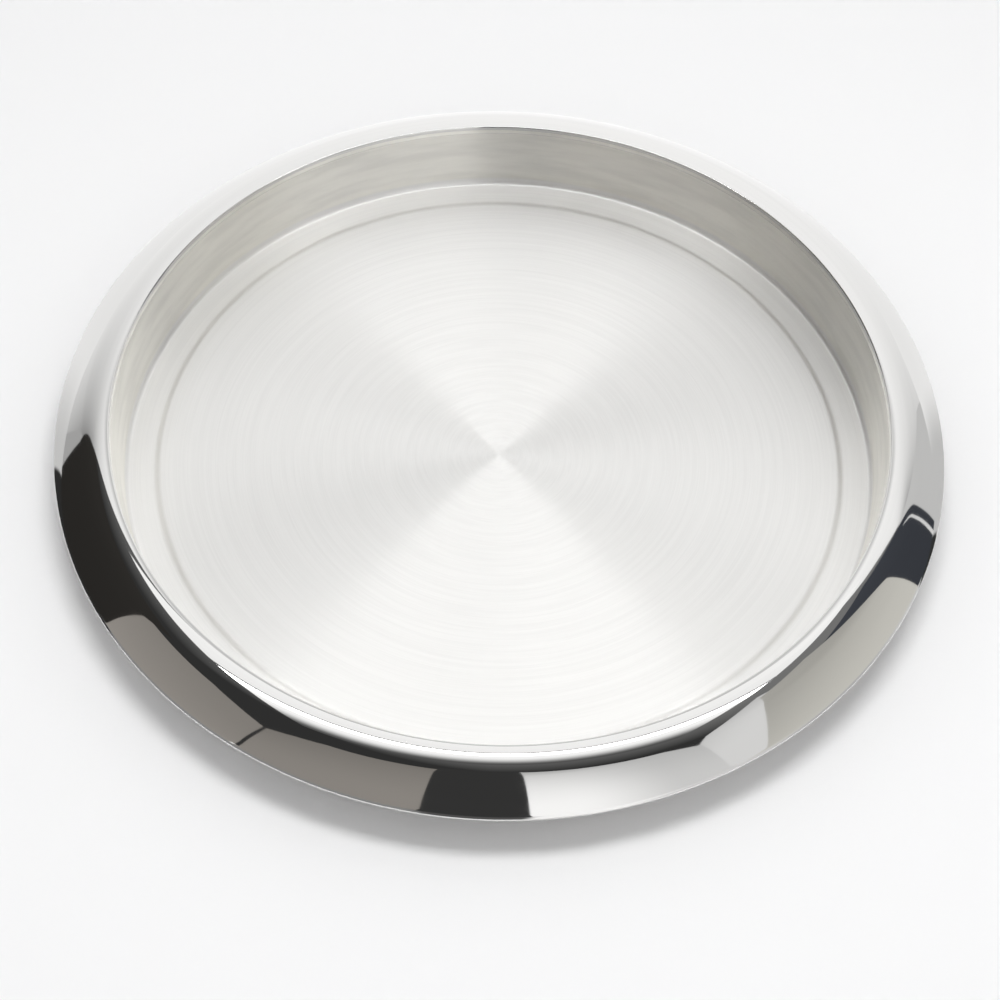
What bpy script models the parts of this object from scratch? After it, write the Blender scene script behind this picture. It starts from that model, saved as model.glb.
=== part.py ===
"""Round double-walled bar tray in stainless steel.

Units are metres and +Z is up. The tray stands on Z = 0 and its axis is the Z axis. It is made of
three sheet-metal shells turned about that axis: a brushed serving pan, a polished rim and a base.
The pan and the rim meet edge to edge at the crest. The base tucks inside the rim's turned edge.
Two weld beads hold the shells together, and a plug closes the vent hole in the base.
"""

import math

import bmesh
import bpy
from mathutils import Vector

# Serving pan
FLOOR_HEIGHT = 0.0075        # top of the floor over the table
WELL_RADIUS = 0.1614         # foot of the wall, inside
STEP_RADIUS = 0.1502         # foot of the step around the raised floor
STEP_WIDTH = 0.0042
STEP_DROP = 0.0010           # raised floor down to the margin around it
FOOT_BEND = 0.0020           # inside radius between the margin and the wall
PAN_SHEET = 0.0008

# Rim, from the crest outwards
WELL_DEPTH = 0.0319          # floor up to the crest
WALL_SPREAD = 0.0050         # crest further out than the foot of the wall
CREST_ROUNDING = 0.00115
SHOULDER_ROUNDING = 0.0201   # first part of the rim, just outside the crest
SLOPE_ROUNDING = 0.083       # nearly straight slope below the shoulder
EDGE_ROUNDING = 0.0029       # outer edge, turned under
RIM_WIDTH = 0.0241           # crest out to the widest point
RIM_DROP = 0.0158            # crest down to the widest point
RIM_SHEET = 0.0008

# Base
STAND_INSET = 0.0174         # ring that the tray stands on, in from the foot of the wall
STAND_WIDTH = 0.005
PANEL_RISE = 0.0015          # base panel over the table
PANEL_SLOPE = 0.0035         # width of the slope up to the base panel
BASE_SHEET = 0.0007
LAP = 0.002                  # base tucked inside the rim's turned edge

# Welds and vent
SEAM_DEPTH = 0.0016          # crest down to the seam between pan and rim
CREST_BEAD = 0.0010          # bead radius
EDGE_BEAD = 0.0005
VENT_RADIUS = 0.0020
PLUG_HEAD_RADIUS = 0.0036
PLUG_HEAD_HEIGHT = 0.0006
PLUG_STANDOUT = 0.0006       # shank above the base sheet, inside the hollow

SEAT = 0.0003                # clearance where two pieces touch
SEGMENTS = 72                # facets round the tray
PLUG_SEGMENTS = 24
BEAD_SIDES = 6
SHARP_ANGLE = math.radians(30)
MERGE = 1e-6

# Heights and radii that follow
margin_height = FLOOR_HEIGHT - STEP_DROP
crest_height = FLOOR_HEIGHT + WELL_DEPTH
crest_radius = WELL_RADIUS + WALL_SPREAD
stand_radius = WELL_RADIUS - STAND_INSET
seam_height = crest_height - SEAM_DEPTH
crest_centre = Vector((crest_radius, crest_height - CREST_ROUNDING))
edge_centre = Vector((crest_radius + RIM_WIDTH - EDGE_ROUNDING, crest_height - RIM_DROP))
wall_foot = Vector((WELL_RADIUS, margin_height))


def heading(angle):
    """Unit vector in the half section: 0 is up, a quarter turn is outward, half a turn is down."""
    return Vector((math.sin(angle), math.cos(angle)))


def angle_of(vector):
    return math.atan2(vector.x, vector.y)


def arc(centre, radius, start, end, steps, hollow=False):
    """Points of an arc with the surface's outward normals. A hollow arc faces its centre."""
    samples = []
    for step in range(steps + 1):
        way = heading(start + (end - start) * step / steps)
        normal = -way if hollow else way
        samples.append((centre + way * radius, normal))
    return samples


def sheet_section(samples, thickness):
    """Closed outline of a sheet: its shown side, then its back."""
    shown = [point for point, normal in samples]
    back = [point - normal * thickness for point, normal in samples]
    return shown + back[::-1]


def widest_shoulder():
    """Radius at which the shoulder's arc would run straight into the edge's arc, with no slope left."""
    across = RIM_WIDTH - EDGE_ROUNDING
    return (across ** 2 + RIM_DROP ** 2 - EDGE_ROUNDING ** 2) / (2 * (RIM_DROP - EDGE_ROUNDING))


def arc_around(first, first_radius, second, second_radius, radius):
    """Centre of the large arc that both of the smaller arcs touch from inside."""
    reach_first = radius - first_radius
    reach_second = radius - second_radius
    span = second - first
    distance = span.length
    along = (distance ** 2 + reach_first ** 2 - reach_second ** 2) / (2 * distance)
    across = math.sqrt(reach_first ** 2 - along ** 2)
    inward = Vector((span.y, -span.x)).normalized()
    return first + span.normalized() * along + inward * across


def wall_lean():
    """Angle of the wall from upright, from its foot to its tangent on the crest's arc."""
    to_crest = crest_centre - wall_foot
    return angle_of(to_crest) - math.asin(CREST_ROUNDING / to_crest.length)


lean = wall_lean()
wall_normal = Vector((-math.cos(lean), math.sin(lean)))
shoulder_rounding = min(SHOULDER_ROUNDING, widest_shoulder())
shoulder_centre = Vector((crest_radius, crest_height - shoulder_rounding))
slope_centre = arc_around(shoulder_centre, shoulder_rounding, edge_centre, EDGE_ROUNDING, SLOPE_ROUNDING)
slope_start = angle_of(shoulder_centre - slope_centre)
slope_end = angle_of(edge_centre - slope_centre)

# The flank of the base is tangent to its tucked edge and to the table.
tuck_radius = EDGE_ROUNDING - RIM_SHEET - SEAT
flank_run = edge_centre.x - stand_radius
flank_radius = ((flank_run ** 2 + edge_centre.y ** 2 - tuck_radius ** 2)
                / (2 * (edge_centre.y - tuck_radius)))
flank_centre = Vector((stand_radius, flank_radius))
edge_end = angle_of(edge_centre - flank_centre)


def wall_point(height):
    """Point on the shown face of the wall."""
    return wall_foot + heading(lean) * ((height - wall_foot.y) / math.cos(lean))


def pan_samples():
    step_rounding = (STEP_WIDTH ** 2 + STEP_DROP ** 2) / (4 * STEP_DROP)
    step_angle = math.asin(STEP_WIDTH / (2 * step_rounding))
    step_top = Vector((STEP_RADIUS - STEP_WIDTH, FLOOR_HEIGHT - step_rounding))
    step_foot = Vector((STEP_RADIUS, margin_height + step_rounding))
    samples = [(Vector((0, FLOOR_HEIGHT)), heading(0))]
    samples += arc(step_top, step_rounding, 0, step_angle, 2)[:-1]
    samples += arc(step_foot, step_rounding, math.pi + step_angle, math.pi, 2, hollow=True)

    bend_back = FOOT_BEND * (1 - math.sin(lean)) / math.cos(lean)
    bend_centre = Vector((WELL_RADIUS - bend_back, margin_height + FOOT_BEND))
    bend_end = math.pi / 2 + lean
    samples += arc(bend_centre, FOOT_BEND, math.pi, bend_end, 4, hollow=True)
    samples.append((wall_point(seam_height - SEAT), wall_normal))
    return samples


def rim_samples():
    samples = [(wall_point(seam_height), wall_normal)]
    samples += arc(crest_centre, CREST_ROUNDING, lean - math.pi / 2, 0, 4)
    samples += arc(shoulder_centre, shoulder_rounding, 0, slope_start, 4)[1:]
    samples += arc(slope_centre, SLOPE_ROUNDING, slope_start, slope_end, 2)[1:]
    samples += arc(edge_centre, EDGE_ROUNDING, slope_end, math.pi / 2, 3)[1:]
    samples += arc(edge_centre, EDGE_ROUNDING, math.pi / 2, edge_end, 3)[1:]
    return samples


def base_samples():
    samples = arc(edge_centre, tuck_radius, edge_end - LAP / tuck_radius, edge_end, 2)
    samples += arc(flank_centre, flank_radius, edge_end, math.pi, 5)[1:]
    ring_inside = stand_radius - STAND_WIDTH
    half_slope = math.atan2(PANEL_RISE, PANEL_SLOPE) / 2
    turned = heading(math.pi + half_slope)
    samples.append((Vector((ring_inside, 0)), turned))
    samples.append((Vector((ring_inside - PANEL_SLOPE, PANEL_RISE)), turned))
    samples.append((Vector((VENT_RADIUS, PANEL_RISE)), heading(math.pi)))
    return samples


def bead_section(centre, radius):
    return [centre + heading(2 * math.pi * side / BEAD_SIDES) * radius for side in range(BEAD_SIDES)]


def crest_bead_section():
    """Bead in the corner between the back of the wall and the back of the rim's shoulder."""
    off_wall = PAN_SHEET + SEAT + CREST_BEAD
    reach = shoulder_rounding - RIM_SHEET - SEAT - CREST_BEAD
    start = wall_foot - wall_normal * off_wall - shoulder_centre
    upward = heading(lean)
    along = start.dot(upward)
    climb = math.sqrt(along ** 2 - start.length_squared + reach ** 2) - along
    return bead_section(shoulder_centre + start + upward * climb, CREST_BEAD)


def edge_bead_section():
    """Bead on the base, against the end of the rim's turned edge."""
    reach = flank_radius + SEAT + EDGE_BEAD
    past_rim = (SEAT + EDGE_BEAD) / reach
    return bead_section(flank_centre + heading(edge_end + past_rim) * reach, EDGE_BEAD)


def plug_section():
    """Low round head in the panel's recess, and a shank through the vent hole."""
    shank = VENT_RADIUS - SEAT
    head_top = PANEL_RISE - SEAT
    head_bottom = head_top - PLUG_HEAD_HEIGHT
    shank_top = PANEL_RISE + BASE_SHEET + PLUG_STANDOUT
    head_corner = PLUG_HEAD_RADIUS - PLUG_HEAD_HEIGHT / 2
    outline = [(0, shank_top), (shank, shank_top), (shank, head_top), (PLUG_HEAD_RADIUS, head_top),
               (PLUG_HEAD_RADIUS, head_bottom + PLUG_HEAD_HEIGHT / 2), (head_corner, head_bottom),
               (0, head_bottom)]
    return [Vector(point) for point in outline]


def turned_mesh(name, outline, segments):
    """Turns a half section about the Z axis into a closed body."""
    bm = bmesh.new()
    verts = [bm.verts.new((point.x, 0, point.y)) for point in outline]
    edges = [bm.edges.new(pair) for pair in zip(verts, verts[1:])]
    if min(point.x for point in outline) > MERGE:
        edges.append(bm.edges.new((verts[-1], verts[0])))
    bmesh.ops.spin(bm, geom=verts + edges, cent=(0, 0, 0), axis=(0, 0, 1),
                   angle=2 * math.pi, steps=segments, use_duplicate=False)
    bmesh.ops.remove_doubles(bm, verts=bm.verts, dist=MERGE)
    bmesh.ops.recalc_face_normals(bm, faces=bm.faces)
    mesh = bpy.data.meshes.new(name)
    bm.to_mesh(mesh)
    bm.free()
    mesh.shade_smooth()
    mesh.set_sharp_from_angle(angle=SHARP_ANGLE)
    return mesh


def steel(name, colour, roughness):
    material = bpy.data.materials.new(name)
    material.use_nodes = True
    shader = material.node_tree.nodes["Principled BSDF"]
    shader.inputs["Base Color"].default_value = (*colour, 1)
    shader.inputs["Metallic"].default_value = 1
    shader.inputs["Roughness"].default_value = roughness
    return material


def add_piece(name, outline, material, segments=SEGMENTS):
    mesh = turned_mesh(name, outline, segments)
    mesh.materials.append(material)
    piece = bpy.data.objects.new(name, mesh)
    bpy.context.scene.collection.objects.link(piece)
    return piece


def clear_scene():
    for piece in list(bpy.data.objects):
        bpy.data.objects.remove(piece)


def main():
    clear_scene()
    brushed = steel("brushed_pan", (0.76, 0.75, 0.73), 0.32)
    polished = steel("polished_rim", (0.80, 0.79, 0.77), 0.05)
    satin = steel("satin_base", (0.70, 0.69, 0.67), 0.22)
    crest_metal = steel("crest_bead", (0.55, 0.54, 0.52), 0.45)
    edge_metal = steel("edge_bead", (0.66, 0.65, 0.63), 0.30)
    plug_metal = steel("vent_plug_metal", (0.62, 0.61, 0.60), 0.35)

    add_piece("serving_pan", sheet_section(pan_samples(), PAN_SHEET), brushed)
    add_piece("rim_shell", sheet_section(rim_samples(), RIM_SHEET), polished)
    add_piece("base_shell", sheet_section(base_samples(), BASE_SHEET), satin)
    add_piece("crest_weld", crest_bead_section(), crest_metal)
    add_piece("edge_weld", edge_bead_section(), edge_metal)
    add_piece("vent_plug", plug_section(), plug_metal, PLUG_SEGMENTS)


if __name__ == "__main__":
    main()
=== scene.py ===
"""Looks of the round bar tray: brushed pan, mirror-polished rim, satin base, and the studio around them.

Units are metres and +Z is up. The tray stands on Z = 0 with its axis on the Z axis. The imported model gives
its size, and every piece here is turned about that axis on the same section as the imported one, only finer.
"""

import math

import bpy
from mathutils import Matrix, Vector


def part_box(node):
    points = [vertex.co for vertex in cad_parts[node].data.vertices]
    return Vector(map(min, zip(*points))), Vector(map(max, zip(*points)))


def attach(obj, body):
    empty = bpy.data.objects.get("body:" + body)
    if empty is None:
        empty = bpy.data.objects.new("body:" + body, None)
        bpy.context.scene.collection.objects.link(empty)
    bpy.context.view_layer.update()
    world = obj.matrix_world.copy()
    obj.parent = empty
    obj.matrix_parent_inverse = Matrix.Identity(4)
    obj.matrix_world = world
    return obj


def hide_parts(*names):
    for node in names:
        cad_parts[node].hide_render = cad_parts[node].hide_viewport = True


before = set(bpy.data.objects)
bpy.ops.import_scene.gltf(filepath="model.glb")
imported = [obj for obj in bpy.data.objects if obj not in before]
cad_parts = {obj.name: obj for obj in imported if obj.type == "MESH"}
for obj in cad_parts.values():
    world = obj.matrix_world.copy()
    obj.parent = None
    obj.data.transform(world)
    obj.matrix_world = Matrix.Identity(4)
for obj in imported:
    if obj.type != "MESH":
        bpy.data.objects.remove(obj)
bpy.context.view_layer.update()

bl_info = {
    "name": "Bar tray",
    "version": (1, 0, 0),
    "blender": (4, 5, 0),
    "location": "3D View > Sidebar > Tray",
    "description": "Dresses the packed bar tray and lights it as in a product studio",
    "category": "Add Mesh",
}

MILLIMETRE = 0.001
TINY = 1e-6  # merges points, and keeps a radius off zero
SHARP_ANGLE = math.radians(35)
ROOT = "root"

# Turns, in radians.
QUARTER = math.pi / 2
HALF = math.pi
FULL = 2 * math.pi

# The side of a turned sheet that shows.
SHOWN_ABOVE = 1
SHOWN_BELOW = -1

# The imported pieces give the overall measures.
RIM_TOP_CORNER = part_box("rim_shell")[1]
PLUG_LOW, PLUG_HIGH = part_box("vent_plug")
OUTER_RADIUS = RIM_TOP_CORNER.x
CREST_HEIGHT = RIM_TOP_CORNER.z

# Height of the softbox and the sheet over the tray, as the steel mirrors them.
OVERHEAD = 2.6

# Tints of the studio's cards.
NEUTRAL = (1.0, 1.0, 1.0)
WARM = (1.07, 1.0, 0.92)
COOL = (0.92, 1.0, 1.2)
PAPER = (1.02, 1.0, 0.93)


class TraySizes(bpy.types.PropertyGroup):
    """Measures of the tray's section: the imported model's, but for a sharper crest and a finer seam."""

    floor_height: bpy.props.FloatProperty(
        name="Floor height", description="Top of the raised floor over the table",
        default=7.5 * MILLIMETRE, unit="LENGTH")
    well_radius: bpy.props.FloatProperty(
        name="Well radius", description="Foot of the wall, inside",
        default=161.4 * MILLIMETRE, unit="LENGTH")
    step_radius: bpy.props.FloatProperty(
        name="Step radius", description="Foot of the step around the raised floor",
        default=150.2 * MILLIMETRE, unit="LENGTH")
    step_width: bpy.props.FloatProperty(
        name="Step width", description="Width of the step", default=4.2 * MILLIMETRE, unit="LENGTH")
    step_drop: bpy.props.FloatProperty(
        name="Step drop", description="Raised floor down to the margin around it",
        default=1.0 * MILLIMETRE, unit="LENGTH")
    foot_bend: bpy.props.FloatProperty(
        name="Foot bend", description="Inside radius between the margin and the wall",
        default=2.0 * MILLIMETRE, unit="LENGTH")
    wall_spread: bpy.props.FloatProperty(
        name="Wall spread", description="Crest further out than the foot of the wall",
        default=5.0 * MILLIMETRE, unit="LENGTH")
    crest_rounding: bpy.props.FloatProperty(
        name="Crest rounding", description="Radius over the crest", default=0.6 * MILLIMETRE, unit="LENGTH")
    shoulder_rounding: bpy.props.FloatProperty(
        name="Shoulder rounding", description="Radius of the rim just outside the crest",
        default=20.1 * MILLIMETRE, unit="LENGTH")
    slope_rounding: bpy.props.FloatProperty(
        name="Slope rounding", description="Radius of the nearly straight slope below the shoulder",
        default=83.0 * MILLIMETRE, unit="LENGTH")
    edge_rounding: bpy.props.FloatProperty(
        name="Edge rounding", description="Radius of the outer edge, turned under",
        default=2.9 * MILLIMETRE, unit="LENGTH")
    rim_drop: bpy.props.FloatProperty(
        name="Rim drop", description="Crest down to the widest point",
        default=15.8 * MILLIMETRE, unit="LENGTH")
    stand_radius: bpy.props.FloatProperty(
        name="Stand radius", description="Outer edge of the ring that the tray stands on",
        default=144 * MILLIMETRE, unit="LENGTH")
    stand_width: bpy.props.FloatProperty(
        name="Stand width", description="Width of that ring",
        default=5 * MILLIMETRE, unit="LENGTH")
    panel_rise: bpy.props.FloatProperty(
        name="Panel rise", description="Base panel over the table", default=1.5 * MILLIMETRE, unit="LENGTH")
    panel_slope: bpy.props.FloatProperty(
        name="Panel slope", description="Width of the slope up to the base panel",
        default=3.5 * MILLIMETRE, unit="LENGTH")
    lap: bpy.props.FloatProperty(
        name="Lap", description="Base tucked inside the rim's turned edge",
        default=2 * MILLIMETRE, unit="LENGTH")
    sheet: bpy.props.FloatProperty(
        name="Sheet", description="Thickness of the pan's and the rim's sheet",
        default=0.8 * MILLIMETRE, unit="LENGTH")
    base_sheet: bpy.props.FloatProperty(
        name="Base sheet", description="Thickness of the base's sheet",
        default=0.7 * MILLIMETRE, unit="LENGTH")
    seam_depth: bpy.props.FloatProperty(
        name="Seam depth", description="Crest down to the seam between pan and rim",
        default=1.6 * MILLIMETRE, unit="LENGTH")
    seam: bpy.props.FloatProperty(
        name="Seam", description="Hairline between two dressed pieces",
        default=0.02 * MILLIMETRE, unit="LENGTH")
    seat: bpy.props.FloatProperty(
        name="Seat", description="Clearance where two pieces touch",
        default=0.3 * MILLIMETRE, unit="LENGTH")
    edge_bead: bpy.props.FloatProperty(
        name="Edge bead", description="Radius of the bead along the turned edge",
        default=0.5 * MILLIMETRE, unit="LENGTH")
    vent_radius: bpy.props.FloatProperty(
        name="Vent radius", description="Vent hole in the base", default=2.0 * MILLIMETRE, unit="LENGTH")
    segments: bpy.props.IntProperty(
        name="Segments", description="Facets round the tray", default=288, min=24)


class TrayColours(bpy.types.PropertyGroup):
    """Colours of the steel, as the finishes show them in plain light."""

    brushed: bpy.props.FloatVectorProperty(
        name="Brushed steel", description="Pan", subtype="COLOR", size=3, default=(0.95, 0.945, 0.93))
    wall: bpy.props.FloatVectorProperty(
        name="Brushed wall", description="Pan's wall", subtype="COLOR", size=3, default=(1.0, 0.985, 0.935))
    polished: bpy.props.FloatVectorProperty(
        name="Polished steel", description="Rim", subtype="COLOR", size=3, default=(0.80, 0.795, 0.785))
    satin: bpy.props.FloatVectorProperty(
        name="Satin steel", description="Base", subtype="COLOR", size=3, default=(0.74, 0.73, 0.715))
    welded: bpy.props.FloatVectorProperty(
        name="Weld metal", description="Bead inside the hollow", subtype="COLOR", size=3,
        default=(0.55, 0.54, 0.52))
    dressed: bpy.props.FloatVectorProperty(
        name="Dressed weld", description="Bead under the edge, and the vent plug", subtype="COLOR", size=3,
        default=(0.66, 0.65, 0.63))
    table: bpy.props.FloatVectorProperty(
        name="Table", description="Pale table top", subtype="COLOR", size=3, default=(0.92, 0.92, 0.925))


class TrayStudio(bpy.types.PropertyGroup):
    """Camera and light."""

    elevation: bpy.props.FloatProperty(
        name="Elevation", description="Camera above the horizon", subtype="ANGLE",
        default=math.radians(53.62))
    roll: bpy.props.FloatProperty(
        name="Roll", description="Camera turned about its own view", subtype="ANGLE",
        default=math.radians(1.95))
    distance: bpy.props.FloatProperty(
        name="Distance", description="Camera to the point it looks at", default=1.1406, unit="LENGTH")
    lens: bpy.props.FloatProperty(
        name="Lens", description="Focal length in millimetres on a 36 mm sensor", default=95.68)
    aim: bpy.props.FloatVectorProperty(
        name="Aim", description="Point that the camera looks at, at the height of the floor", size=3,
        subtype="XYZ", default=(0.0009, -0.0246, 0.0075))
    lamp_share: bpy.props.FloatProperty(
        name="Lamp share", description="Light on the table from the overhead lamp", default=0.44)
    lamp_width: bpy.props.FloatProperty(
        name="Lamp width", description="Overhead lamp from left to right", default=0.6, unit="LENGTH")
    lamp_depth: bpy.props.FloatProperty(
        name="Lamp depth", description="Overhead lamp from front to back", default=0.28, unit="LENGTH")
    lamp_place: bpy.props.FloatVectorProperty(
        name="Lamp place", description="Middle of the overhead lamp", size=3, subtype="XYZ",
        default=(0.07, -0.06, 1.25))
    room_share: bpy.props.FloatProperty(
        name="Room share", description="Light on the table from the room", default=0.64)


def heading(angle):
    """Unit vector in the half section: 0 is up, a quarter turn is outward, half a turn is down."""
    return Vector((math.sin(angle), math.cos(angle)))


def angle_of(vector):
    return math.atan2(vector.x, vector.y)


def arc(centre, radius, start, end, steps):
    """Points of an arc of the half section."""
    return [centre + heading(start + (end - start) * step / steps) * radius for step in range(steps + 1)]


def arc_around(first, first_radius, second, second_radius, radius):
    """Centre of the large arc that both of the smaller arcs touch from inside."""
    reach_first = radius - first_radius
    reach_second = radius - second_radius
    span = second - first
    along = (span.length_squared + reach_first ** 2 - reach_second ** 2) / (2 * span.length)
    across = math.sqrt(reach_first ** 2 - along ** 2)
    inward = Vector((span.y, -span.x)).normalized()
    return first + span.normalized() * along + inward * across


class Section:
    """The tray's half section, worked out from its sizes."""

    def __init__(self, sizes):
        self.sizes = sizes
        self.margin_height = sizes.floor_height - sizes.step_drop
        self.wall_foot = Vector((sizes.well_radius, self.margin_height))

        # Centres of the rim's four arcs, each of which runs smoothly into the next.
        crest_radius = sizes.well_radius + sizes.wall_spread
        self.crest = Vector((crest_radius, CREST_HEIGHT - sizes.crest_rounding))
        self.shoulder = Vector((crest_radius, CREST_HEIGHT - sizes.shoulder_rounding))
        self.edge = Vector((OUTER_RADIUS - sizes.edge_rounding, CREST_HEIGHT - sizes.rim_drop))
        self.slope = arc_around(self.shoulder, sizes.shoulder_rounding, self.edge, sizes.edge_rounding,
                                sizes.slope_rounding)

        # The straight wall leans so that it just touches the crest's arc.
        to_crest = self.crest - self.wall_foot
        self.lean = angle_of(to_crest) - math.asin(sizes.crest_rounding / to_crest.length)

        # The base lies inside the turned edge, on an arc round the same centre. Its flank is one large arc
        # from there, smoothly, to the standing ring, where it ends level.
        self.tuck = sizes.edge_rounding - sizes.sheet - sizes.seat
        run = self.edge.x - sizes.stand_radius
        drop = self.edge.y - self.tuck
        self.flank_rounding = (run ** 2 + self.edge.y ** 2 - self.tuck ** 2) / (2 * drop)
        self.flank = Vector((sizes.stand_radius, self.flank_rounding))
        self.edge_end = angle_of(self.edge - self.flank)

    def wall_point(self, height):
        rise = (height - self.wall_foot.y) / math.cos(self.lean)
        return self.wall_foot + heading(self.lean) * rise

    def pan(self):
        """From the middle of the floor out and up to the seam just under the crest."""
        sizes = self.sizes
        floor_rings = (0, 0.002, 0.01, 0.035, 0.07, 0.105, 0.135)
        points = [Vector((radius, sizes.floor_height)) for radius in floor_rings]

        # The step is two equal arcs, one into the other.
        rounding = (sizes.step_width ** 2 + sizes.step_drop ** 2) / (4 * sizes.step_drop)
        turn = math.asin(sizes.step_width / (2 * rounding))
        top = Vector((sizes.step_radius - sizes.step_width, sizes.floor_height - rounding))
        foot = Vector((sizes.step_radius, self.margin_height + rounding))
        points += arc(top, rounding, 0, turn, steps=6)[:-1]
        points += arc(foot, rounding, HALF + turn, HALF, steps=6)

        # The foot bend touches both the margin and the wall.
        back = sizes.foot_bend * (1 - math.sin(self.lean)) / math.cos(self.lean)
        bend = Vector((sizes.well_radius - back, self.margin_height + sizes.foot_bend))
        points += arc(bend, sizes.foot_bend, HALF, QUARTER + self.lean, steps=10)
        start = points[-1].y
        end = CREST_HEIGHT - sizes.seam_depth - sizes.seam
        strips = 6
        points += [self.wall_point(start + (end - start) * step / strips) for step in range(1, strips + 1)]
        return points

    def rim(self):
        """From the seam over the crest and round under the outer edge."""
        sizes = self.sizes
        slope_start = angle_of(self.shoulder - self.slope)
        slope_end = angle_of(self.edge - self.slope)
        points = [self.wall_point(CREST_HEIGHT - sizes.seam_depth)]
        points += arc(self.crest, sizes.crest_rounding, self.lean - QUARTER, 0, steps=14)
        points += arc(self.shoulder, sizes.shoulder_rounding, 0, slope_start, steps=16)[1:]
        points += arc(self.slope, sizes.slope_rounding, slope_start, slope_end, steps=10)[1:]
        points += arc(self.edge, sizes.edge_rounding, slope_end, QUARTER, steps=12)[1:]
        points += arc(self.edge, sizes.edge_rounding, QUARTER, self.edge_end, steps=8)[1:]
        return points

    def base(self):
        """From inside the rim's turned edge down the flank and in to the vent hole."""
        sizes = self.sizes
        points = arc(self.edge, self.tuck, self.edge_end - sizes.lap / self.tuck, self.edge_end, steps=6)
        points += arc(self.flank, self.flank_rounding, self.edge_end, HALF, steps=24)[1:]
        inside = sizes.stand_radius - sizes.stand_width
        points.append(Vector((inside, 0)))
        points.append(Vector((inside - sizes.panel_slope, sizes.panel_rise)))
        panel_rings = (0.11, 0.07, 0.03, 0.008)
        points += [Vector((radius, sizes.panel_rise)) for radius in panel_rings]
        points.append(Vector((sizes.vent_radius, sizes.panel_rise)))
        return points

    def edge_bead(self):
        """Small round bead on the base, against the end of the rim's turned edge."""
        sizes = self.sizes
        reach = self.flank_rounding + sizes.seat + sizes.edge_bead
        past_rim = (sizes.seat + sizes.edge_bead) / reach
        centre = self.flank + heading(self.edge_end + past_rim) * reach
        return arc(centre, sizes.edge_bead, 0, FULL, steps=12)


class Wire:
    """A socket of a node tree. Python's own operators on it add the Math nodes."""

    def __init__(self, tree, socket=None):
        self.tree = tree
        self.socket = socket

    def node(self, kind, settings=None, values=None, output=0):
        """Adds a node, sets it up, fills its sockets with values or links, and returns one output."""
        made = self.tree.nodes.new("ShaderNode" + kind)
        for name, value in (settings or {}).items():
            setattr(made, name, value)
        for name, value in (values or {}).items():
            if isinstance(value, Wire):
                self.tree.links.new(value.socket, made.inputs[name])
            else:
                made.inputs[name].default_value = value
        return Wire(self.tree, made.outputs[output])

    def parts(self):
        """The three numbers of a vector."""
        split = self.node("SeparateXYZ", values={0: self})
        return [Wire(self.tree, socket) for socket in split.socket.node.outputs]

    def math(self, operation, *others):
        return self.node("Math", {"operation": operation}, dict(enumerate((self, *others))))

    def __add__(self, other):
        return self.math("ADD", other)

    def __radd__(self, other):
        return self + other

    def __sub__(self, other):
        return self.math("SUBTRACT", other)

    def __rsub__(self, other):
        return self.node("Math", {"operation": "SUBTRACT"}, {0: other, 1: self})

    def __mul__(self, other):
        return self.math("MULTIPLY", other)

    def __rmul__(self, other):
        return self * other

    def __truediv__(self, other):
        return self.math("DIVIDE", other)

    def __pow__(self, other):
        return self.math("POWER", other)

    def clamped(self, low, high, new_low=0.0, new_high=1.0):
        """Maps low..high to the new range, smoothly, and holds it there."""
        values = {"Value": self, "From Min": low, "From Max": high, "To Min": new_low, "To Max": new_high}
        return self.node("MapRange", {"clamp": True, "interpolation_type": "SMOOTHSTEP"}, values)

    def colour(self, first, second):
        """Goes from the first colour to the second, plain or wired, as this number goes from 0 to 1."""
        ends = [end if isinstance(end, Wire) else (*end, 1) for end in (first, second)]
        values = {0: self, 6: ends[0], 7: ends[1]}
        return self.node("Mix", {"data_type": "RGBA"}, values, output=2)


def scaled(colour, factor):
    return [channel * factor for channel in colour]


def new_material(name):
    """A material, and the shader in it."""
    material = bpy.data.materials.new(name)
    material.use_nodes = True
    return material, material.node_tree.nodes["Principled BSDF"]


class Finish:
    """A metal finish: its material, its shader and the coordinates of a turned piece. Noise lies mostly
    between 0.35 and 0.65, so each finish stretches about that range to the values that it wants."""

    def __init__(self, name, **constants):
        self.material, self.shader = new_material(name)
        self.shader.inputs["Metallic"].default_value = 1
        for socket, value in constants.items():
            self.shader.inputs[socket.replace("_", " ")].default_value = value
        self.wire = Wire(self.material.node_tree)
        self.position = self.wire.node("TexCoord", output="Object")
        x, y, self.height = self.position.parts()
        self.radius = (x * x + y * y) ** 0.5
        safe = self.radius + TINY
        self.east, self.north = x / safe, y / safe

    def feed(self, socket, wire):
        self.wire.tree.links.new(wire.socket, self.shader.inputs[socket])

    def rings(self, pitch, reach, detail=2.0, seed=0.0):
        """Noise in fine lines round the axis: pitch across the lines, reach of a line in radians."""
        values = {
            0: (self.radius + self.height) / pitch + seed,
            1: self.east / reach,
            2: self.north / reach,
        }
        place = self.wire.node("CombineXYZ", values=values)
        return self.wire.node("TexNoise", values={"Vector": place, "Scale": 1.0, "Detail": detail})

    def cloud(self, size, detail):
        """Even noise with lumps of one size."""
        values = {"Vector": self.position, "Scale": 1 / size, "Detail": detail}
        return self.wire.node("TexNoise", values=values)

    def raise_by(self, height, distance):
        self.feed("Normal", self.wire.node("Bump", values={"Height": height, "Distance": distance}))

    def soften(self, share, roughness):
        """Lets a share of the metal spread light evenly: the scratches that don't follow the brushing."""
        tree = self.wire.tree
        colour = Wire(tree, self.shader.inputs["Base Color"].links[0].from_socket)
        values = {"Base Color": colour, "Metallic": 1.0, "Roughness": roughness}
        even = self.wire.node("BsdfPrincipled", values=values)
        lined = Wire(tree, self.shader.outputs[0])
        both = self.wire.node("MixShader", values={0: share, 1: lined, 2: even})
        tree.links.new(both.socket, tree.nodes["Material Output"].inputs["Surface"])


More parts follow.
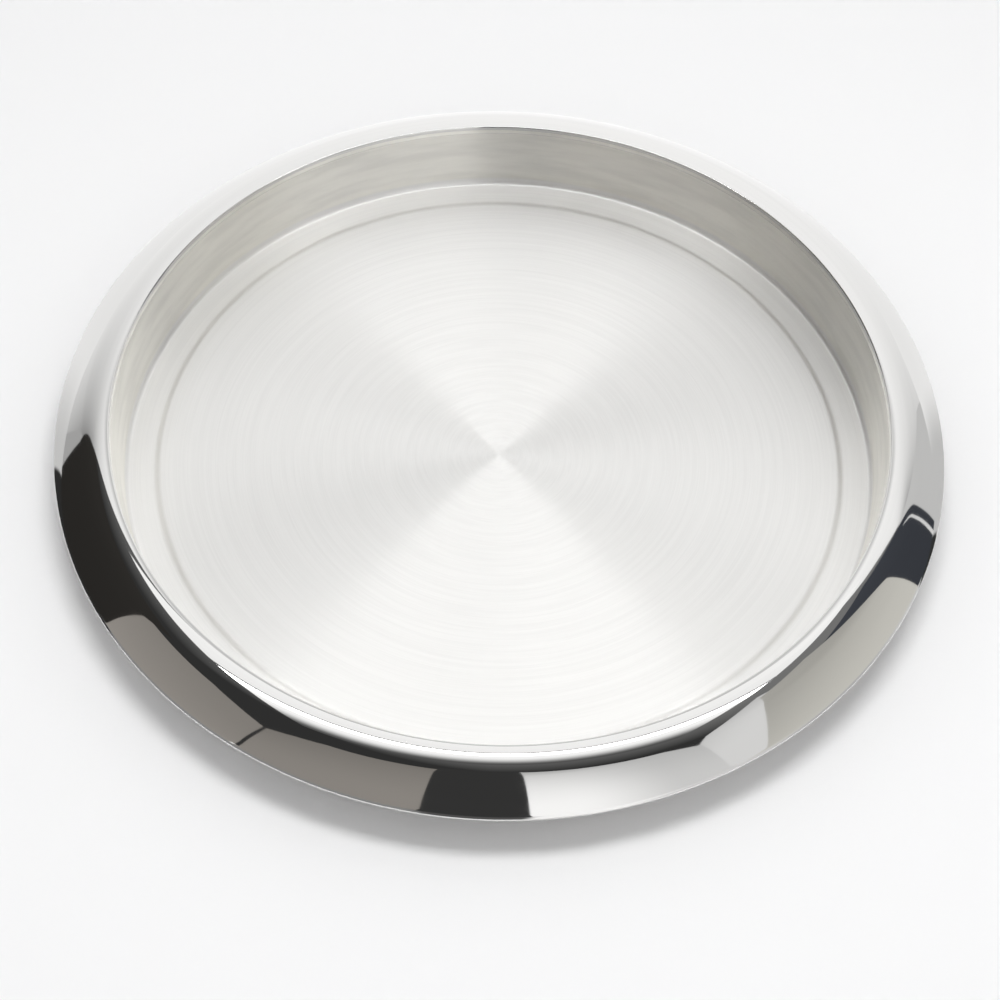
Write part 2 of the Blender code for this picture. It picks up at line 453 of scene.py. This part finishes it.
def brushed_finish(colours, wall_foot):
    """Fine lines brushed round the middle. Light spreads across them, so the spread is turned a quarter.
    Broader, warmer streaks run along the wall, and the rim's polish runs a little way down it."""
    finish = Finish("brushed_pan", Anisotropic=1.0, Anisotropic_Rotation=0.25)
    fine = finish.rings(pitch=0.25 * MILLIMETRE, reach=0.35)
    broad = finish.rings(pitch=1.6 * MILLIMETRE, reach=0.9, seed=17)
    lines = fine * 0.6 + broad * 0.4
    plain = lines.clamped(0.36, 0.64).colour(scaled(colours.brushed, 0.97), scaled(colours.brushed, 1.015))
    streaks = finish.rings(pitch=6 * MILLIMETRE, reach=0.25, detail=4.0, seed=41)
    warm = streaks.clamped(0.32, 0.68).colour(scaled(colours.wall, 0.91), colours.wall)
    on_wall = finish.height.clamped(wall_foot, wall_foot + 2 * MILLIMETRE)
    finish.feed("Base Color", on_wall.colour(plain, warm))
    polish_end = CREST_HEIGHT - 3.7 * MILLIMETRE
    polish_roughness = 0.04
    brushed = finish.height.clamped(polish_end, polish_end + 0.3 * MILLIMETRE, 1, 0)
    finish.feed("Roughness", polish_roughness + brushed * fine.clamped(0.35, 0.65, 0.29, 0.33))
    finish.raise_by(lines, distance=0.0015 * MILLIMETRE)
    finish.soften(share=brushed * 0.5, roughness=0.55)
    return finish.material


def polished_finish(colours):
    """Mirror polish, with a faint haze of polishing lines and a slow ripple in the sheet."""
    finish = Finish("polished_rim")
    ripple = finish.cloud(14 * MILLIMETRE, detail=1.0)
    haze = finish.rings(pitch=1.2 * MILLIMETRE, reach=0.6)
    tone = haze.clamped(0.35, 0.65)
    finish.feed("Base Color", tone.colour(scaled(colours.polished, 0.985), colours.polished))
    finish.feed("Roughness", haze.clamped(0.3, 0.7, 0.028, 0.042))
    finish.raise_by(ripple, distance=0.012 * MILLIMETRE)
    return finish.material


def satin_finish(colours):
    """Spun sheet, brushed less finely than the pan, round the same middle."""
    finish = Finish("satin_base", Anisotropic=0.6, Anisotropic_Rotation=0.25)
    fine = finish.rings(pitch=0.5 * MILLIMETRE, reach=0.4)
    broad = finish.rings(pitch=4 * MILLIMETRE, reach=1.2, seed=5)
    tone = (fine * 0.6 + broad * 0.4).clamped(0.36, 0.64)
    finish.feed("Base Color", tone.colour(scaled(colours.satin, 0.92), colours.satin))
    finish.feed("Roughness", fine.clamped(0.35, 0.65, 0.24, 0.32))
    finish.raise_by(fine, distance=0.004 * MILLIMETRE)
    return finish.material


def weld_finish(colours):
    """Bead as welded: ripples across it, dull, with a brown heat tint."""
    finish = Finish("weld_metal")
    ripple = finish.rings(pitch=3 * MILLIMETRE, reach=0.006, detail=1.0)
    brown = (0.86, 0.74, 0.6)
    tinted = [channel * factor for channel, factor in zip(colours.welded, brown)]
    finish.feed("Base Color", ripple.clamped(0.35, 0.65).colour(tinted, colours.welded))
    finish.feed("Roughness", ripple.clamped(0.3, 0.7, 0.38, 0.52))
    finish.raise_by(ripple, distance=0.08 * MILLIMETRE)
    return finish.material


def dressed_finish(name, colours):
    """Weld metal ground and rubbed down by hand."""
    finish = Finish(name)
    scratches = finish.cloud(0.6 * MILLIMETRE, detail=3.0)
    tone = scratches.clamped(0.35, 0.65)
    finish.feed("Base Color", tone.colour(scaled(colours.dressed, 0.9), colours.dressed))
    finish.feed("Roughness", scratches.clamped(0.3, 0.7, 0.26, 0.38))
    finish.raise_by(scratches, distance=0.01 * MILLIMETRE)
    return finish.material


def deselect_all():
    if bpy.context.mode != "OBJECT":
        bpy.ops.object.mode_set(mode="OBJECT")
    bpy.ops.object.select_all(action="DESELECT")


def select_only(piece):
    deselect_all()
    piece.select_set(True)
    bpy.context.view_layer.objects.active = piece


def draw_section(name, points):
    """Half section as a chain of edges: one corner, pushed on from point to point."""
    deselect_all()
    start = points[0]
    bpy.ops.mesh.primitive_plane_add(size=MILLIMETRE, location=(start.x, 0, start.y))
    piece = bpy.context.object
    piece.name = piece.data.name = name
    bpy.ops.object.transform_apply(location=True, rotation=True, scale=True)
    bpy.ops.object.mode_set(mode="EDIT")
    bpy.ops.mesh.select_all(action="SELECT")
    bpy.ops.mesh.merge(type="CENTER")
    for here, there in zip(points, points[1:]):
        step = there - here
        bpy.ops.mesh.extrude_region_move(TRANSFORM_OT_translate={"value": (step.x, 0, step.y)})
    return piece


def turn_section(segments):
    """Spins the section drawn last about the tray's axis, closes it where it meets itself, and points its
    faces one way."""
    bpy.ops.mesh.select_all(action="SELECT")
    bpy.ops.mesh.spin(steps=segments, angle=FULL, center=(0, 0, 0), axis=(0, 0, 1), use_auto_merge=True)
    bpy.ops.mesh.select_all(action="SELECT")
    bpy.ops.mesh.remove_doubles(threshold=TINY)
    bpy.ops.mesh.select_all(action="SELECT")
    bpy.ops.mesh.normals_make_consistent(inside=False)


def thicken(piece, thickness):
    """Gives a shell its thickness behind the side that shows."""
    select_only(piece)
    shell = piece.modifiers.new("sheet", "SOLIDIFY")
    shell.thickness = thickness
    shell.offset = -1
    shell.use_even_offset = True
    bpy.ops.object.modifier_apply(modifier=shell.name)


def finish_piece(piece, material, node):
    """Smooth shading, the material, and the piece's place in the model."""
    select_only(piece)
    bpy.ops.object.shade_smooth_by_angle(angle=SHARP_ANGLE)
    piece.data.materials.clear()
    piece.data.materials.append(material)
    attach(piece, ROOT)
    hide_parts(node)


def turned_sheet(name, points, segments, thickness, shown):
    """Turns the half section of a sheet's shown side, points its faces up or down as a whole, and gives the
    sheet its thickness behind them."""
    piece = draw_section(name, points)
    turn_section(segments)
    deselect_all()
    lift = sum(face.normal.z * face.area for face in piece.data.polygons)
    if lift * shown < 0:
        piece.data.flip_normals()
    thicken(piece, thickness)
    return piece


class TRAY_OT_serving_pan(bpy.types.Operator):
    """Brushed pan: floor, step, margin, foot bend and wall"""

    bl_idname = "tray.serving_pan"
    bl_label = "Serving pan"
    bl_options = {"REGISTER", "UNDO"}

    def execute(self, context):
        sizes = context.scene.tray_sizes
        section = Section(sizes)
        piece = turned_sheet("tray_pan", section.pan(), sizes.segments, sizes.sheet, SHOWN_ABOVE)
        finish = brushed_finish(context.scene.tray_colours, section.margin_height + sizes.foot_bend)
        finish_piece(piece, finish, "serving_pan")
        return {"FINISHED"}


class TRAY_OT_rim_shell(bpy.types.Operator):
    """Polished rim: crest, shoulder, slope and turned edge"""

    bl_idname = "tray.rim_shell"
    bl_label = "Rim shell"
    bl_options = {"REGISTER", "UNDO"}

    def execute(self, context):
        sizes = context.scene.tray_sizes
        outline = Section(sizes).rim()
        piece = turned_sheet("tray_rim", outline, sizes.segments, sizes.sheet, SHOWN_ABOVE)
        finish_piece(piece, polished_finish(context.scene.tray_colours), "rim_shell")
        return {"FINISHED"}


class TRAY_OT_base_shell(bpy.types.Operator):
    """Satin base: tucked edge, flank, standing ring and raised panel"""

    bl_idname = "tray.base_shell"
    bl_label = "Base shell"
    bl_options = {"REGISTER", "UNDO"}

    def execute(self, context):
        sizes = context.scene.tray_sizes
        outline = Section(sizes).base()
        piece = turned_sheet("tray_base", outline, sizes.segments, sizes.base_sheet, SHOWN_BELOW)
        finish_piece(piece, satin_finish(context.scene.tray_colours), "base_shell")
        return {"FINISHED"}


class TRAY_OT_welds(bpy.types.Operator):
    """Dressed bead under the rim's edge, and the finish of the bead inside the hollow"""

    bl_idname = "tray.welds"
    bl_label = "Welds"
    bl_options = {"REGISTER", "UNDO"}

    def execute(self, context):
        sizes = context.scene.tray_sizes
        colours = context.scene.tray_colours
        piece = draw_section("tray_edge_bead", Section(sizes).edge_bead())
        turn_section(sizes.segments)
        finish_piece(piece, dressed_finish("dressed_weld", colours), "edge_weld")
        hidden_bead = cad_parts["crest_weld"]
        hidden_bead.data.materials.clear()
        hidden_bead.data.materials.append(weld_finish(colours))
        return {"FINISHED"}


class TRAY_OT_vent_plug(bpy.types.Operator):
    """Plug of the vent hole: a low head with a rounded edge, on a shank"""

    bl_idname = "tray.vent_plug"
    bl_label = "Vent plug"
    bl_options = {"REGISTER", "UNDO"}

    sides: bpy.props.IntProperty(name="Sides", description="Facets round the plug", default=64, min=12)

    def execute(self, context):
        sizes = context.scene.tray_sizes
        head_radius = PLUG_HIGH.x
        head_top = sizes.panel_rise - sizes.seat
        depth = head_top - PLUG_LOW.z
        shank = sizes.vent_radius - sizes.seat
        deselect_all()
        bpy.ops.mesh.primitive_cylinder_add(
            vertices=self.sides, radius=head_radius, depth=depth, end_fill_type="NGON",
            location=(0, 0, (head_top + PLUG_LOW.z) / 2))
        piece = context.object
        piece.name = piece.data.name = "tray_vent_plug"
        bpy.ops.object.transform_apply(location=True, rotation=True, scale=True)
        select_level_face(piece, head_top)
        bpy.ops.mesh.inset(thickness=head_radius - shank)
        rise = (0, 0, PLUG_HIGH.z - head_top)
        bpy.ops.mesh.extrude_region_move(TRANSFORM_OT_translate={"value": rise})
        select_level_face(piece, PLUG_LOW.z)
        bpy.ops.mesh.bevel(offset=depth / 2, offset_type="OFFSET", segments=5, profile=0.5, affect="EDGES")
        finish = dressed_finish("plug_metal", context.scene.tray_colours)
        finish_piece(piece, finish, "vent_plug")
        return {"FINISHED"}


def select_level_face(piece, height):
    """Goes to edit mode with only the level face at that height selected."""
    select_only(piece)
    bpy.ops.object.mode_set(mode="EDIT")
    bpy.ops.mesh.select_mode(type="FACE")
    bpy.ops.mesh.select_all(action="DESELECT")
    bpy.ops.object.mode_set(mode="OBJECT")
    for face in piece.data.polygons:
        face.select = abs(face.center.z - height) < 0.01 * MILLIMETRE and abs(face.normal.z) > 0.9
    bpy.ops.object.mode_set(mode="EDIT")


class Card:
    """A flat sheet that shows only in the steel: not to the camera, and it neither lights nor shades the
    table. Its level of light can change across and up the sheet, in metres from its middle."""

    def __init__(self, name, centre, turn, width, height, tint=NEUTRAL):
        deselect_all()
        bpy.ops.mesh.primitive_plane_add(size=1, location=centre, rotation=turn)
        self.sheet = bpy.context.object
        self.sheet.name = self.sheet.data.name = name
        self.sheet.scale = (width, height, 1)
        bpy.ops.object.transform_apply(location=False, rotation=False, scale=True)
        self.sheet.visible_camera = False
        self.sheet.visible_diffuse = False
        self.sheet.visible_shadow = False
        self.sheet.visible_transmission = False
        material, self.shader = new_material(name)
        self.sheet.data.materials.append(material)
        self.shader.inputs["Base Color"].default_value = (0, 0, 0, 1)
        self.shader.inputs["Specular IOR Level"].default_value = 0
        self.shader.inputs["Emission Strength"].default_value = 1
        self.tint = tint
        self.wire = Wire(material.node_tree)
        self.across, self.up, _ = self.wire.node("TexCoord", output="Object").parts()

    def shine(self, level):
        values = {0: self.tint, "Scale": level}
        light = self.wire.node("VectorMath", {"operation": "SCALE"}, values)
        self.wire.tree.links.new(light.socket, self.shader.inputs["Emission Color"])


def level_card(name, height, front, back, reach):
    """Level sheet from front to back of the tray's axis, and as far as reach to its left and right. Up the
    sheet is towards the back."""
    return Card(name, (0, (front + back) / 2, height), (0, 0, 0), 2 * reach, back - front)


def upright_card(name, azimuth, distance, left, right, top, levels, tint=NEUTRAL, turn=(0, 1), fade=(0, 1),
                 lean=(0, 0), drop=(0, 0)):
    """Flat that stands on the table's level and faces the tray. Azimuths in degrees: 0 is behind the tray,
    90 to its right. It spans the azimuths left to right, as seen from the tray. The levels are those of its
    foot, left and right, and of its top, left and right. They change over the shares turn and fade of its
    width and height. Its upper corners, left and right, go to the right by lean and down by drop."""
    middle = math.radians(azimuth)
    start = distance * math.tan(math.radians(left) - middle)
    end = distance * math.tan(math.radians(right) - middle)
    along = Vector((math.cos(middle), -math.sin(middle), 0))
    foot = Vector((math.sin(middle), math.cos(middle), 0)) * distance
    centre = foot + along * (start + end) / 2 + Vector((0, 0, top / 2))
    width = end - start
    card = Card(name, centre, (QUARTER, 0, -middle), width, top, tint)
    edges = [(share - 0.5) * width for share in turn]
    foot_level = card.across.clamped(*edges, levels[0], levels[1])
    top_level = card.across.clamped(*edges, levels[2], levels[3])
    risen = card.up.clamped(*[(share - 0.5) * top for share in fade])
    card.shine(foot_level + (top_level - foot_level) * risen)
    for side, shift, fall in zip((-1, 1), lean, drop):
        if shift or fall:
            select_upper_corner(card.sheet, side)
            bpy.ops.transform.translate(value=along * shift - Vector((0, 0, fall)))
            bpy.ops.object.mode_set(mode="OBJECT")


def select_upper_corner(sheet, side):
    """Goes to edit mode with one upper corner of an upright sheet selected: side -1 is left, 1 right."""
    corner = max(sheet.data.vertices, key=lambda vertex: vertex.co.y + vertex.co.x * side)
    for part in (sheet.data.vertices, sheet.data.edges, sheet.data.polygons):
        for item in part:
            item.select = False
    corner.select = True
    bpy.ops.object.mode_set(mode="EDIT")
    bpy.ops.mesh.select_mode(type="VERT")


class TRAY_OT_stage(bpy.types.Operator):
    """Camera, table, overhead lamp, and the cards and flags that the steel mirrors"""

    bl_idname = "tray.stage"
    bl_label = "Stage"
    bl_options = {"REGISTER", "UNDO"}

    def execute(self, context):
        studio = context.scene.tray_studio
        place_camera(context.scene, studio)
        lay_table(context.scene.tray_colours)
        hang_lamp(studio)
        light_room(context.scene, studio)
        set_cards()
        context.scene.view_settings.view_transform = "Standard"
        return {"FINISHED"}


def place_camera(scene, studio):
    """Camera in front of the tray, looking down at the aim and rolled a little."""
    lens = bpy.data.cameras.new("camera")
    lens.lens = studio.lens
    lens.sensor_width = 36
    lens.clip_end = 50
    camera = bpy.data.objects.new("camera", lens)
    scene.collection.objects.link(camera)
    back = Vector((0, -math.cos(studio.elevation), math.sin(studio.elevation)))
    level = Vector((1, 0, 0))
    upright = back.cross(level)
    right = level * math.cos(studio.roll) + upright * math.sin(studio.roll)
    up = upright * math.cos(studio.roll) - level * math.sin(studio.roll)
    turned = Matrix((right, up, back)).transposed().to_4x4()
    camera.matrix_world = Matrix.Translation(Vector(studio.aim) + back * studio.distance) @ turned
    scene.camera = camera


def lay_table(colours):
    """Dull pale table top, far wider than the camera sees from the front."""
    side = 12
    deselect_all()
    bpy.ops.mesh.primitive_plane_add(size=side)
    table = bpy.context.object
    table.name = table.data.name = "table"
    material, shader = new_material("table")
    shader.inputs["Base Color"].default_value = (*colours.table, 1)
    shader.inputs["Roughness"].default_value = 0.9
    shader.inputs["Specular IOR Level"].default_value = 0
    table.data.materials.append(material)


def hang_lamp(studio):
    """Level softbox over the tray, a little to the right. The steel mirrors its card instead. Its power is
    the one at which a white table under it shows the lamp's share of full white at the tray's middle."""
    place = Vector(studio.lamp_place)
    lamp = bpy.data.lights.new("softbox", "AREA")
    lamp.shape = "RECTANGLE"
    lamp.size = studio.lamp_width
    lamp.size_y = studio.lamp_depth
    lamp.energy = studio.lamp_share * (math.pi * place.length_squared / place.z) ** 2
    hung = bpy.data.objects.new("softbox", lamp)
    bpy.context.scene.collection.objects.link(hung)
    hung.location = place
    hung.visible_glossy = False


def light_room(scene, studio):
    """Even pale light on the table, and a white background for the camera and the steel."""
    world = bpy.data.worlds.new("room")
    world.use_nodes = True
    wire = Wire(world.node_tree)
    camera, glossy, through = [wire.node("LightPath", output=f"Is {kind} Ray")
                               for kind in ("Camera", "Glossy", "Transmission")]
    background = camera + glossy + through
    strength = background + (1 - background) * studio.room_share
    wire.tree.links.new(strength.socket, world.node_tree.nodes["Background"].inputs["Strength"])
    world.node_tree.nodes["Background"].inputs["Color"].default_value = (1, 1, 1, 1)
    scene.world = world


def set_cards():
    """Cards around the tray, where the polished rim of the real one mirrors them."""
    upright_card("front_left_flat", azimuth=-180, distance=2.0, left=-166.5, right=-128.5, top=2.75,
                 levels=(0.29, 0.28, 0.21, 0.21), tint=WARM, fade=(0.4, 1), drop=(0, 0.4))
    upright_card("front_right_flat", azimuth=180, distance=2.0, left=130.3, right=171.5, top=3.0,
                 levels=(0.72, 1.15, 0.55, 0.52), turn=(0.3, 0.85), fade=(0.35, 1), drop=(0.55, 0))
    upright_card("front_gap", azimuth=180, distance=2.05, left=171, right=194, top=3.3,
                 levels=(0.04, 0.04, 0.04, 0.04))
    upright_card("left_flat", azimuth=-113, distance=2.5, left=-128, right=-93.5, top=1.85,
                 levels=(0.33, 0.33, 0.25, 0.25), tint=WARM)
    upright_card("left_flag", azimuth=-76, distance=2.4, left=-94, right=-64.5, top=2.45,
                 levels=(0.024, 0.024, 0.03, 0.03), tint=WARM, lean=(0, 0.78))
    upright_card("left_wing", azimuth=-62, distance=2.9, left=-68, right=-59, top=1.3,
                 levels=(0.43, 0.43, 0.42, 0.42))
    upright_card("right_wing", azimuth=74, distance=2.5, left=50, right=72, top=2.7,
                 levels=(0.62, 0.62, 0.66, 0.66), lean=(1.0, 0))
    upright_card("right_flag", azimuth=73, distance=2.4, left=68.6, right=81.5, top=3.0,
                 levels=(0.05, 0.05, 0.06, 0.06), tint=COOL, lean=(-0.36, 0))
    upright_card("right_slit", azimuth=73, distance=2.38, left=70.1, right=70.9, top=1.2,
                 levels=(0.8, 0.8, 0.8, 0.8), lean=(-0.12, -0.14))
    upright_card("right_flat", azimuth=80, distance=2.3, left=80.5, right=128.5, top=3.3,
                 levels=(0.66, 0.66, 0.43, 0.45), tint=PAPER, fade=(0, 0.7), lean=(0, -1.65))
    upright_card("right_front_flat", azimuth=80, distance=2.32, left=98, right=130.5, top=3.7,
                 levels=(0.79, 0.79, 0.64, 0.64), fade=(0.5, 1), drop=(0, 0.75))
    ground_card()
    back_sweep()
    overhead_softbox()
    overhead_sheet()
    dark_ceiling()


# Levels that the rim's outer edge mirrors just over the table, clockwise from in front. Each change has the
# azimuths on the edge where it starts and ends, in degrees, and the level after it.
GAP_LEVEL = 0.10
GROUND_LEVELS = (
    (-173, -171, 0.28),  # left-hand flats
    (-125.5, -124, 0.03),  # left flag
    (-97, -96, 0.66),  # left wing
    (-92, -76, 0.94),  # left end of the sweep
    (-76, -10, 1.07),  # middle of the sweep
    (10, 75, 0.97),  # right end of the sweep
    (77, 88, 0.62),  # right wing
    (102, 103, 0.04),  # right flag
    (110.7, 111.3, 0.68),  # near edge of the right flat
    (116, 130, 0.52),  # middle of the right flat
    (134, 150, 0.76),  # right front flat
    (155, 165, 1.15),  # front right flat
    (174, 176, GAP_LEVEL),  # gap in front
)


def ground_card():
    """Sheet just over the table, with a round hole for the tray. It carries the cards' levels on to the tray,
    so that the rim's outer edge mirrors them to the end. A point of the sheet shows in the edge further to
    the front than it stands, the more so the further out it is, so its azimuth is turned by that lead."""
    hole_radius = 0.211
    full_lead = math.radians(36)
    card = level_card("ground_card", height=2 * MILLIMETRE, front=-2.2, back=2.2, reach=2.2)
    radius = (card.across * card.across + card.up * card.up) ** 0.5
    azimuth = card.across.math("ARCTAN2", card.up)
    turned = azimuth + azimuth.math("SINE") * (1 - radius ** -1 * OUTER_RADIUS) * full_lead
    level = before = GAP_LEVEL
    for start, end, after in GROUND_LEVELS:
        level = turned.clamped(math.radians(start), math.radians(end), 0, after - before) + level
        before = after
    card.shine(level)
    opening = radius.clamped(hole_radius, hole_radius + MILLIMETRE)
    card.wire.tree.links.new(opening.socket, card.shader.inputs["Alpha"])


def back_sweep():
    """White sweep behind the tray. Its upper corners are cut off, the left one by far the most. It dims
    towards its ends, more so to the left but little near its top, and a grey shade lies on the upper half of
    its middle."""
    distance = 2.2
    left = -3.97
    right = 4.14
    top = 5.0
    centre = ((left + right) / 2, distance, top / 2)
    card = Card("back_sweep", centre, (QUARTER, 0, 0), right - left, top)
    for side, cut, profile in ((-1, 4.1, 0.3), (1, 2.0, 0.4)):
        select_upper_corner(card.sheet, side)
        bpy.ops.mesh.bevel(offset=cut, offset_type="OFFSET", segments=8, profile=profile, affect="VERTICES")
        bpy.ops.object.mode_set(mode="OBJECT")
    x = card.across + centre[0]
    z = card.up + top / 2
    full_level = 1.09
    end_dimming = x * x * 0.043
    left_dimming = x.math("MINIMUM", 0) * z * -0.055
    low_down = z.clamped(2.4, 3.6, 1, 0.2)
    middle = (x * x).clamped(0.3, 1.5, 1, 0)
    upper_half = z.clamped(2.5, 3.0)
    shade = upper_half * middle * 0.4
    card.shine((full_level - (end_dimming + left_dimming) * low_down) * (1 - shade))


def overhead_softbox():
    """Softbox over the tray: a bright strip along its back, and a glow that fades towards the front."""
    front = -0.85
    back = 0.3
    card = level_card("overhead_softbox", OVERHEAD, front, back, reach=1.3)
    y = card.up + (front + back) / 2
    glow = y.clamped(-0.8, -0.1, 0.1, 1.15)
    strip = y.clamped(0.0, 0.2, 0, 7.0)
    card.shine(glow + strip)


def overhead_sheet():
    """White sheet behind the softbox, with a narrow gap between them. It brightens towards the back."""
    card = level_card("overhead_sheet", OVERHEAD, front=0.39, back=1.3, reach=1.3)
    middle_level = 1.08
    card.shine(card.up * 0.1 + middle_level)


def dark_ceiling():
    """Unlit ceiling over the cards. It darkens to the left of the tray and in front of it."""
    card = level_card("dark_ceiling", height=6.0, front=-18, back=18, reach=18)
    most = 0.2
    least = 0.035
    left_dimming = card.across.math("MINIMUM", 0) * -0.033
    front_dimming = card.up.math("MINIMUM", 0) * -0.043
    card.shine((most - (left_dimming + front_dimming)).math("MAXIMUM", least))


class TRAY_PT_panel(bpy.types.Panel):
    """Lists the tray's pieces and the stage"""

    bl_idname = "TRAY_PT_panel"
    bl_label = "Bar tray"
    bl_space_type = "VIEW_3D"
    bl_region_type = "UI"
    bl_category = "Tray"

    def draw(self, context):
        for operator in OPERATORS:
            self.layout.operator(operator.bl_idname)
        for group in (context.scene.tray_sizes, context.scene.tray_colours, context.scene.tray_studio):
            box = self.layout.box()
            for name in group.__annotations__:
                box.prop(group, name)


OPERATORS = (
    TRAY_OT_stage,
    TRAY_OT_serving_pan,
    TRAY_OT_rim_shell,
    TRAY_OT_base_shell,
    TRAY_OT_welds,
    TRAY_OT_vent_plug,
)
GROUPS = {"tray_sizes": TraySizes, "tray_colours": TrayColours, "tray_studio": TrayStudio}


def register():
    for name, group in GROUPS.items():
        bpy.utils.register_class(group)
        setattr(bpy.types.Scene, name, bpy.props.PointerProperty(type=group))
    for operator in OPERATORS:
        bpy.utils.register_class(operator)
    bpy.utils.register_class(TRAY_PT_panel)


def unregister():
    bpy.utils.unregister_class(TRAY_PT_panel)
    for operator in reversed(OPERATORS):
        bpy.utils.unregister_class(operator)
    for name, group in reversed(GROUPS.items()):
        delattr(bpy.types.Scene, name)
        bpy.utils.unregister_class(group)


def main():
    register()
    bpy.ops.tray.stage()
    bpy.ops.tray.serving_pan()
    bpy.ops.tray.rim_shell()
    bpy.ops.tray.base_shell()
    bpy.ops.tray.welds()
    bpy.ops.tray.vent_plug()
    deselect_all()


if __name__ == "__main__":
    main()
